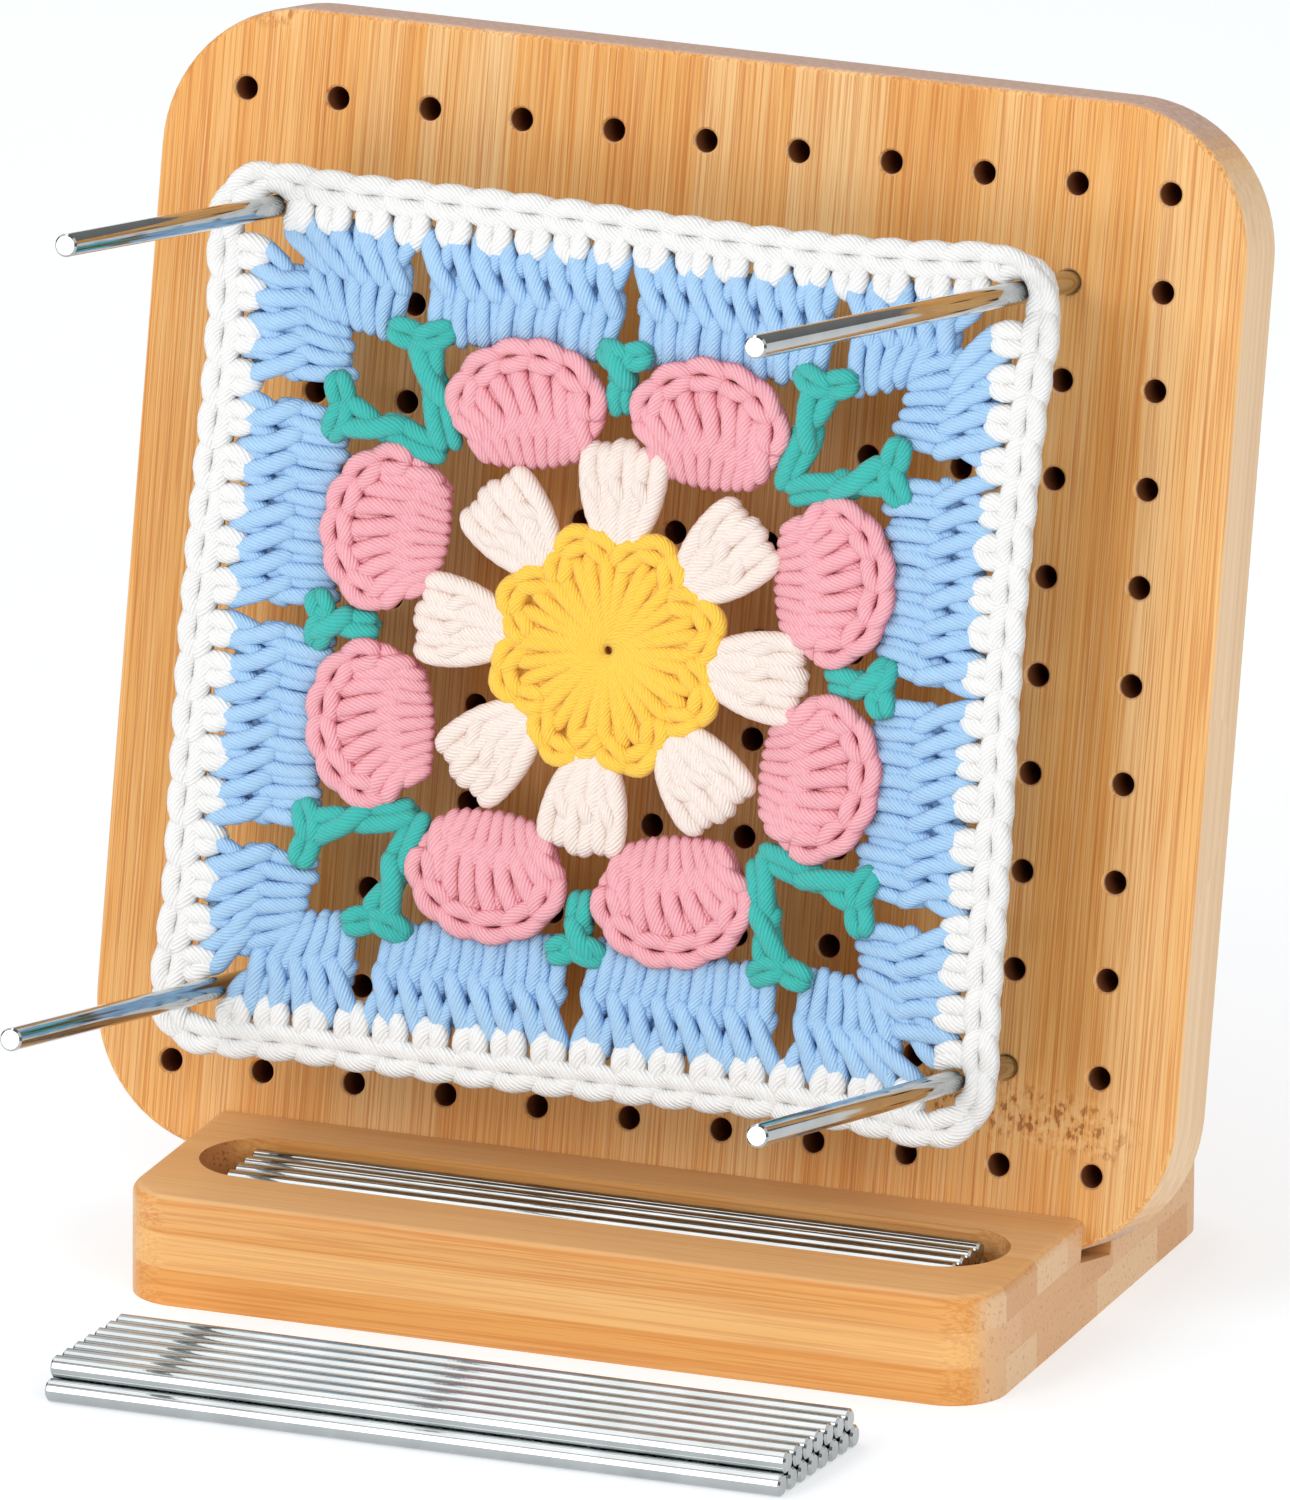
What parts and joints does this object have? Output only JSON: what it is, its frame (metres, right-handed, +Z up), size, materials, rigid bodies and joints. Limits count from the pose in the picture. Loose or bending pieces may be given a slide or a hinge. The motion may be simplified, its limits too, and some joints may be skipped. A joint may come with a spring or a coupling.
{
  "type": "crochet blocking board on a stand",
  "caption": "Square bamboo peg board leaning in a slotted stand with a rod tray, steel rods in its holes holding a stretched crocheted granny square, and a pile of spare rods in front.",
  "frame": {"origin": "centre of the stand's underside", "axes": "+Z up, +Y towards the back, +X to the right; the board leans back by 11.7 degrees in its slot"},
  "size_m": [0.2, 0.1845, 0.2103],
  "materials": {
    "bamboo_stand": "satin",
    "bamboo_board": "satin",
    "steel_rod": "polished",
    "yarn_yellow": "plied cotton yarn",
    "yarn_cream": "plied cotton yarn",
    "yarn_pink": "plied cotton yarn",
    "yarn_green": "plied cotton yarn",
    "yarn_blue": "plied cotton yarn",
    "yarn_white": "plied cotton yarn"
  },
  "bodies": {
    "stand": {"stand_base": "bamboo_stand", "tray_lower_1": "steel_rod", "tray_lower_5": "steel_rod"},
    "board": {"peg_board": "bamboo_board"},
    "granny_square": {"yellow_centre": "yarn_yellow", "cream_clusters": "yarn_cream", "pink_fans": "yarn_pink", "green_stitches": "yarn_green", "blue_blocks": "yarn_blue", "white_border": "yarn_white"},
    "holding_rod_upper_left": {"hold_rod_upper_left": "steel_rod"},
    "holding_rod_upper_right": {"hold_rod_upper_right": "steel_rod"},
    "holding_rod_lower_left": {"hold_rod_lower_left": "steel_rod"},
    "holding_rod_lower_right": {"hold_rod_lower_right": "steel_rod"},
    "tray_lower_2": {"tray_lower_2": "steel_rod"},
    "tray_lower_3": {"tray_lower_3": "steel_rod"},
    "tray_lower_4": {"tray_lower_4": "steel_rod"},
    "tray_upper_1": {"tray_upper_1": "steel_rod"},
    "tray_upper_2": {"tray_upper_2": "steel_rod"},
    "tray_upper_3": {"tray_upper_3": "steel_rod"},
    "tray_upper_4": {"tray_upper_4": "steel_rod"},
    "pile_lower_1": {"pile_lower_1": "steel_rod"},
    "pile_lower_2": {"pile_lower_2": "steel_rod"},
    "pile_lower_3": {"pile_lower_3": "steel_rod"},
    "pile_lower_4": {"pile_lower_4": "steel_rod"},
    "pile_lower_5": {"pile_lower_5": "steel_rod"},
    "pile_lower_6": {"pile_lower_6": "steel_rod"},
    "pile_lower_7": {"pile_lower_7": "steel_rod"},
    "pile_lower_8": {"pile_lower_8": "steel_rod"},
    "pile_upper_1": {"pile_upper_1": "steel_rod"},
    "pile_upper_2": {"pile_upper_2": "steel_rod"},
    "pile_upper_3": {"pile_upper_3": "steel_rod"},
    "pile_upper_4": {"pile_upper_4": "steel_rod"},
    "pile_upper_5": {"pile_upper_5": "steel_rod"},
    "pile_upper_6": {"pile_upper_6": "steel_rod"},
    "pile_upper_7": {"pile_upper_7": "steel_rod"}
  },
  "joints": [
    {"name": "board_lift", "type": "slide", "parent": "stand", "child": "board", "axis": [0, 0.2028, 0.9792], "range_m": [0, 0.04]},
    {"name": "square_slide", "type": "slide", "parent": "board", "child": "granny_square", "axis": [0, -0.9792, 0.2028], "range_m": [-0.02, 0.08]},
    {"name": "pull_upper_left", "type": "slide", "parent": "board", "child": "holding_rod_upper_left", "axis": [0, -0.9792, 0.2028], "range_m": [0, 0.03]},
    {"name": "pull_upper_right", "type": "slide", "parent": "board", "child": "holding_rod_upper_right", "axis": [0, -0.9792, 0.2028], "range_m": [0, 0.03]},
    {"name": "pull_lower_left", "type": "slide", "parent": "board", "child": "holding_rod_lower_left", "axis": [0, -0.9792, 0.2028], "range_m": [0, 0.03]},
    {"name": "pull_lower_right", "type": "slide", "parent": "board", "child": "holding_rod_lower_right", "axis": [0, -0.9792, 0.2028], "range_m": [0, 0.03]},
    {"name": "lift_tray_upper_1", "type": "slide", "parent": "stand", "child": "tray_upper_1", "axis": [0, 0, 1], "range_m": [0, 0.014]},
    {"name": "lift_tray_upper_2", "type": "slide", "parent": "stand", "child": "tray_upper_2", "axis": [0, 0, 1], "range_m": [0, 0.014]},
    {"name": "lift_tray_upper_3", "type": "slide", "parent": "stand", "child": "tray_upper_3", "axis": [0, 0, 1], "range_m": [0, 0.014]},
    {"name": "lift_tray_upper_4", "type": "slide", "parent": "stand", "child": "tray_upper_4", "axis": [0, 0, 1], "range_m": [0, 0.014]},
    {"name": "shift_tray_lower_2", "type": "slide", "parent": "stand", "child": "tray_lower_2", "axis": [1, 0, 0], "range_m": [-0.0045, 0.0045]},
    {"name": "shift_tray_lower_3", "type": "slide", "parent": "stand", "child": "tray_lower_3", "axis": [1, 0, 0], "range_m": [-0.0065, 0.0065]},
    {"name": "shift_tray_lower_4", "type": "slide", "parent": "stand", "child": "tray_lower_4", "axis": [1, 0, 0], "range_m": [-0.0045, 0.0045]},
    {"name": "draw_pile_lower_1", "type": "slide", "parent": "stand", "child": "pile_lower_1", "axis": [1, 0, 0], "range_m": [0, 0.14]},
    {"name": "draw_pile_lower_2", "type": "slide", "parent": "stand", "child": "pile_lower_2", "axis": [1, 0, 0], "range_m": [0, 0.14]},
    {"name": "draw_pile_lower_3", "type": "slide", "parent": "stand", "child": "pile_lower_3", "axis": [1, 0, 0], "range_m": [0, 0.14]},
    {"name": "draw_pile_lower_4", "type": "slide", "parent": "stand", "child": "pile_lower_4", "axis": [1, 0, 0], "range_m": [0, 0.14]},
    {"name": "draw_pile_lower_5", "type": "slide", "parent": "stand", "child": "pile_lower_5", "axis": [1, 0, 0], "range_m": [0, 0.14]},
    {"name": "draw_pile_lower_6", "type": "slide", "parent": "stand", "child": "pile_lower_6", "axis": [1, 0, 0], "range_m": [0, 0.14]},
    {"name": "draw_pile_lower_7", "type": "slide", "parent": "stand", "child": "pile_lower_7", "axis": [1, 0, 0], "range_m": [0, 0.14]},
    {"name": "draw_pile_lower_8", "type": "slide", "parent": "stand", "child": "pile_lower_8", "axis": [1, 0, 0], "range_m": [0, 0.14]},
    {"name": "lift_pile_upper_1", "type": "slide", "parent": "stand", "child": "pile_upper_1", "axis": [0, 0, 1], "range_m": [0, 0.03]},
    {"name": "lift_pile_upper_2", "type": "slide", "parent": "stand", "child": "pile_upper_2", "axis": [0, 0, 1], "range_m": [0, 0.03]},
    {"name": "lift_pile_upper_3", "type": "slide", "parent": "stand", "child": "pile_upper_3", "axis": [0, 0, 1], "range_m": [0, 0.03]},
    {"name": "lift_pile_upper_4", "type": "slide", "parent": "stand", "child": "pile_upper_4", "axis": [0, 0, 1], "range_m": [0, 0.03]},
    {"name": "lift_pile_upper_5", "type": "slide", "parent": "stand", "child": "pile_upper_5", "axis": [0, 0, 1], "range_m": [0, 0.03]},
    {"name": "lift_pile_upper_6", "type": "slide", "parent": "stand", "child": "pile_upper_6", "axis": [0, 0, 1], "range_m": [0, 0.03]},
    {"name": "lift_pile_upper_7", "type": "slide", "parent": "stand", "child": "pile_upper_7", "axis": [0, 0, 1], "range_m": [0, 0.03]}
  ]
}
